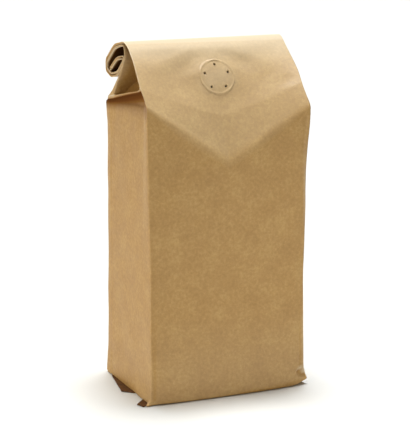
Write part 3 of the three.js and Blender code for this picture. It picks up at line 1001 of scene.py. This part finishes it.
@dataclass
class SealFin:
    """A flap of the bottom's heat seal that lies flat on the ground and sticks out from under a corner."""

    name: str
    root: tuple[Pair, Pair]          # where it runs in under the bag, as x, y
    rim: Sequence[Pair]              # its free outline from one end of the root to the other
    curl: float = 0.4                # how far its rim lifts
    thick: float = 0.5
    across: int = 12
    leg: int = 14                    # columns along each leg of the rim

    def build(self, finish: bpy.types.Material) -> bpy.types.Object:
        """Make the flap's mesh object."""
        legs = len(self.rim) - 1
        u = np.linspace(0.0, legs, legs * self.leg + 1)
        rim = np.column_stack([np.interp(u, np.arange(legs + 1), np.array(self.rim)[:, i]) for i in (0, 1)])
        root = np.column_stack([np.interp(u, (0, legs), np.array(self.root)[:, i]) for i in (0, 1)])
        v = np.linspace(0.0, 1.0, self.across + 1)[:, None, None]
        flat = root + (rim - root) * v
        ripple = 0.12 * np.sin(flat[..., 1] * 0.9 + flat[..., 0] * 0.4) * v[..., 0]
        height = 0.15 + self.curl * v[..., 0] ** 2 * np.sin(np.pi * u / legs) + ripple * 0.5 + 0.06
        points = np.concatenate([flat, height[..., None]], axis=-1).reshape(-1, 3)
        bm = bmesh.new()
        bmesh.ops.create_grid(bm, x_segments=u.size - 1, y_segments=self.across, size=1.0)
        for vertex, point in zip(bm.verts, points):
            vertex.co = point
        bmesh.ops.recalc_face_normals(bm, faces=bm.faces)
        thicken(bm, self.thick)
        low = min(v.co.z for v in bm.verts)
        bmesh.ops.translate(bm, vec=(0.0, 0.0, 0.02 - low), verts=bm.verts)
        return finish_piece(bm, self.name, finish)


@dataclass
class SealBand:
    """The crimped bottom seal, folded flat against the base."""

    name: str = "bottom_seal_band"
    length: float = 98.0
    near: float = -11.0              # its free edge, in y
    far: float = 0.5                 # where it leaves the base
    rib_pitch: float = 1.6           # the crimp's ribs are drawn a little coarser than the real 1 mm
    rib_height: float = 0.12
    low: float = 0.1
    high: float = 0.75

    def build(self, finish: bpy.types.Material) -> bpy.types.Object:
        """Make the band's mesh object."""
        rows = round((self.far - self.near) / self.rib_pitch * 6)
        x = np.linspace(-self.length / 2.0, self.length / 2.0, 41)
        y = np.linspace(self.near, self.far, rows + 1)[:, None]
        rib = self.rib_height * np.cos((y - self.near) * 2.0 * np.pi / self.rib_pitch)
        sag = 0.1 * np.cos(x * 0.12) * (self.far - y) / (self.far - self.near)
        height = self.low + self.rib_height + 0.1 + rib + sag
        points = np.stack(np.broadcast_arrays(x[None, :], y, height), axis=-1).reshape(-1, 3)
        bm = bmesh.new()
        bmesh.ops.create_grid(bm, x_segments=x.size - 1, y_segments=rows, size=1.0)
        for vertex, point in zip(bm.verts, points):
            vertex.co = point
        bmesh.ops.recalc_face_normals(bm, faces=bm.faces)
        thicken(bm, self.high - self.low - 2.0 * self.rib_height)
        return finish_piece(bm, self.name, finish)


def thicken(bm: bmesh.types.BMesh, thickness: float) -> None:
    """Give a level sheet its thickness, upwards."""
    sheet = bm.faces[:]
    made = bmesh.ops.extrude_face_region(bm, geom=sheet, use_keep_orig=True)["geom"]
    risen = [item for item in made if isinstance(item, bmesh.types.BMVert)]
    bmesh.ops.translate(bm, vec=(0.0, 0.0, thickness), verts=risen)
    bmesh.ops.recalc_face_normals(bm, faces=bm.faces)


def finish_piece(bm: bmesh.types.BMesh, name: str, *finishes: bpy.types.Material) -> bpy.types.Object:
    """Turn a millimetre bmesh into a smooth-shaded object in metres.

    Args:
        bm: the piece's bmesh, which is freed.
        name: the object's name.
        *finishes: its materials, in the order of the faces' material numbers.

    Returns:
        The object.
    """
    bmesh.ops.scale(bm, vec=(MM, MM, MM), verts=bm.verts)
    mesh = bpy.data.meshes.new(name)
    bm.to_mesh(mesh)
    bm.free()
    for finish in finishes:
        mesh.materials.append(finish)
    mesh.shade_smooth()
    piece = bpy.data.objects.new(name, mesh)
    bpy.context.scene.collection.objects.link(piece)
    return piece


# ---------------------------------------------------------------- studio


@dataclass(frozen=True)
class SoftLight:
    """A broad, far studio light: even over the whole table, with soft edges to its shadows."""

    name: str
    bearing: float                   # degrees round from the front, positive to the right
    height: float                    # degrees above the table
    spread: float                    # degrees that the light spans, seen from the bag
    strength: float
    colour: Triple = (1.0, 1.0, 1.0)

    def build(self) -> bpy.types.Object:
        """Make the light and aim it at the bag."""
        light = bpy.data.lights.new(self.name, "SUN")
        light.energy = self.strength
        light.angle = math.radians(self.spread)
        light.color = self.colour
        lamp = bpy.data.objects.new(self.name, light)
        turn, rise = math.radians(self.bearing), math.radians(self.height)
        away = Vector((math.cos(rise) * math.sin(turn), -math.cos(rise) * math.cos(turn), math.sin(rise)))
        lamp.rotation_euler = away.to_track_quat("Z", "Y").to_euler()
        bpy.context.scene.collection.objects.link(lamp)
        return lamp


@dataclass(frozen=True)
class FloorCard:
    """A low lit card that throws light under the bulge of the walls, with all its lengths in metres."""

    name: str
    place: Triple
    power: float
    colour: Triple = (1.0, 1.0, 1.0)
    length: float = 0.35
    tall: float = 0.05
    aim: Triple = (0.0, 0.0, 0.04)

    def build(self) -> bpy.types.Object:
        """Make the card, turned to the foot of the bag."""
        light = bpy.data.lights.new(self.name, "AREA")
        light.shape = "RECTANGLE"
        light.size, light.size_y = self.length, self.tall
        light.energy = self.power
        light.color = self.colour
        card = bpy.data.objects.new(self.name, light)
        card.location = self.place
        card.rotation_euler = (Vector(self.place) - Vector(self.aim)).to_track_quat("Z", "Y").to_euler()
        card.visible_camera = False
        bpy.context.scene.collection.objects.link(card)
        return card


@dataclass
class Studio:
    """Table, lights, sky and camera."""

    ambient: float = 0.0
    lights: Sequence[SoftLight] = (
        SoftLight("overhead_light", 155.0, 82.6, 20.0, 5.1, (0.98, 1.0, 1.0)),
        SoftLight("left_light", -90.0, 24.0, 60.0, 0.85, (1.0, 0.78, 0.385)),
        SoftLight("right_light", 60.0, 15.0, 60.0, 0.3),
    )
    cards: Sequence[FloorCard] = (
        FloorCard("front_card", (0.1, -0.5, 0.03), 0.22), FloorCard("left_card", (-0.5, 0.02, 0.03), 0.5, (1.0, 0.95, 0.86)),
        FloorCard("near_right_card", (0.15, -0.24, 0.02), 0.075, (1.0, 0.88, 0.66), 0.16),
        FloorCard("near_left_card", (-0.16, -0.25, 0.02), 0.055, (1.0, 0.84, 0.58), 0.16),
    )
    camera_distance: float = 1.2
    camera_turn: float = -22.5
    camera_tilt: float = 12.4
    camera_target: Triple = (0.0, 0.0, 0.11)
    lens: float = 151.9
    shift: Pair = (0.0016, 0.0053)

    def build(self) -> None:
        """Make everything round the bag."""
        scene = bpy.context.scene
        scene.view_settings.view_transform = "Standard"
        bm = bmesh.new()
        bmesh.ops.create_grid(bm, x_segments=1, y_segments=1, size=4.0 / MM)
        floor = finish_piece(bm, "studio_floor", StudioWhite().material())
        for light in (*self.lights, *self.cards):
            light.build()
        bm = bmesh.new()
        bmesh.ops.create_uvsphere(bm, u_segments=48, v_segments=24, radius=3.8 / MM)
        bmesh.ops.reverse_faces(bm, faces=bm.faces)
        backdrop = finish_piece(bm, "studio_backdrop", StudioBackdrop().material())
        backdrop.visible_shadow = backdrop.visible_diffuse = False
        backdrop.visible_transmission = False
        world = bpy.data.worlds.new("studio_air")
        world.use_nodes = True
        world.node_tree.nodes["Background"].inputs["Color"].default_value = (1.0, 1.0, 1.0, 1.0)
        world.node_tree.nodes["Background"].inputs["Strength"].default_value = self.ambient
        scene.world = world
        self.build_camera()

    def build_camera(self) -> None:
        """Place the camera at its viewing angle."""
        turn, tilt = math.radians(self.camera_turn), math.radians(self.camera_tilt)
        away = Vector((math.cos(tilt) * math.sin(turn), -math.cos(tilt) * math.cos(turn), math.sin(tilt)))
        lens = bpy.data.cameras.new("studio_camera")
        lens.lens = self.lens
        lens.sensor_width = 36.0
        lens.shift_x, lens.shift_y = self.shift
        camera = bpy.data.objects.new("studio_camera", lens)
        camera.location = Vector(self.camera_target) + away * self.camera_distance
        camera.rotation_euler = (-away).to_track_quat("-Z", "Y").to_euler()
        bpy.context.scene.collection.objects.link(camera)
        bpy.context.scene.camera = camera


# ---------------------------------------------------------------- everything


def main() -> None:
    """Build the bag round its frame, then the studio."""
    logging.basicConfig(level=logging.INFO, format="%(message)s")
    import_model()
    kraft = KraftPaper().material()
    sealed = SealKraftPaintedShade().material()
    cavity = ValveCavity().material()
    sleeve = PaperSleeve().build(kraft, cavity, ValveImprint())
    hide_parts(BAG_NODE)
    # the seal fins' dark finish is painted shade for the hollows under the walls' lower edges
    fins = [fin.build(sealed) for fin in (
        SealFin("rear_left_fin", ((-52.0, 27.0), (-52.0, -10.0)),
                ((-56.9, 27.5), (-63.0, -8.5), (-56.0, -14.5))),
        SealFin("front_left_fin", ((-53.0, -38.0), (-53.0, -29.0)),
                ((-55.5, -39.5), (-61.0, -44.6), (-63.2, -38.2), (-55.2, -28.6))),
        SealFin("rear_right_fin", ((50.0, -9.0), (50.0, 33.0)), ((54.0, -10.0), (59.5, -4.0), (54.0, 34.0))),
        SealFin("front_right_fin", ((48.0, -27.0), (48.0, -34.0)), ((52.0, -26.0), (54.6, -30.0), (52.0, -34.5))),
    )]
    band = SealBand().build(sealed)
    for piece in (sleeve, *fins, band):
        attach(piece, "root")
        log.info("%s: %d faces", piece.name, len(piece.data.polygons))
    Studio().build()


if __name__ == "__main__":
    main()
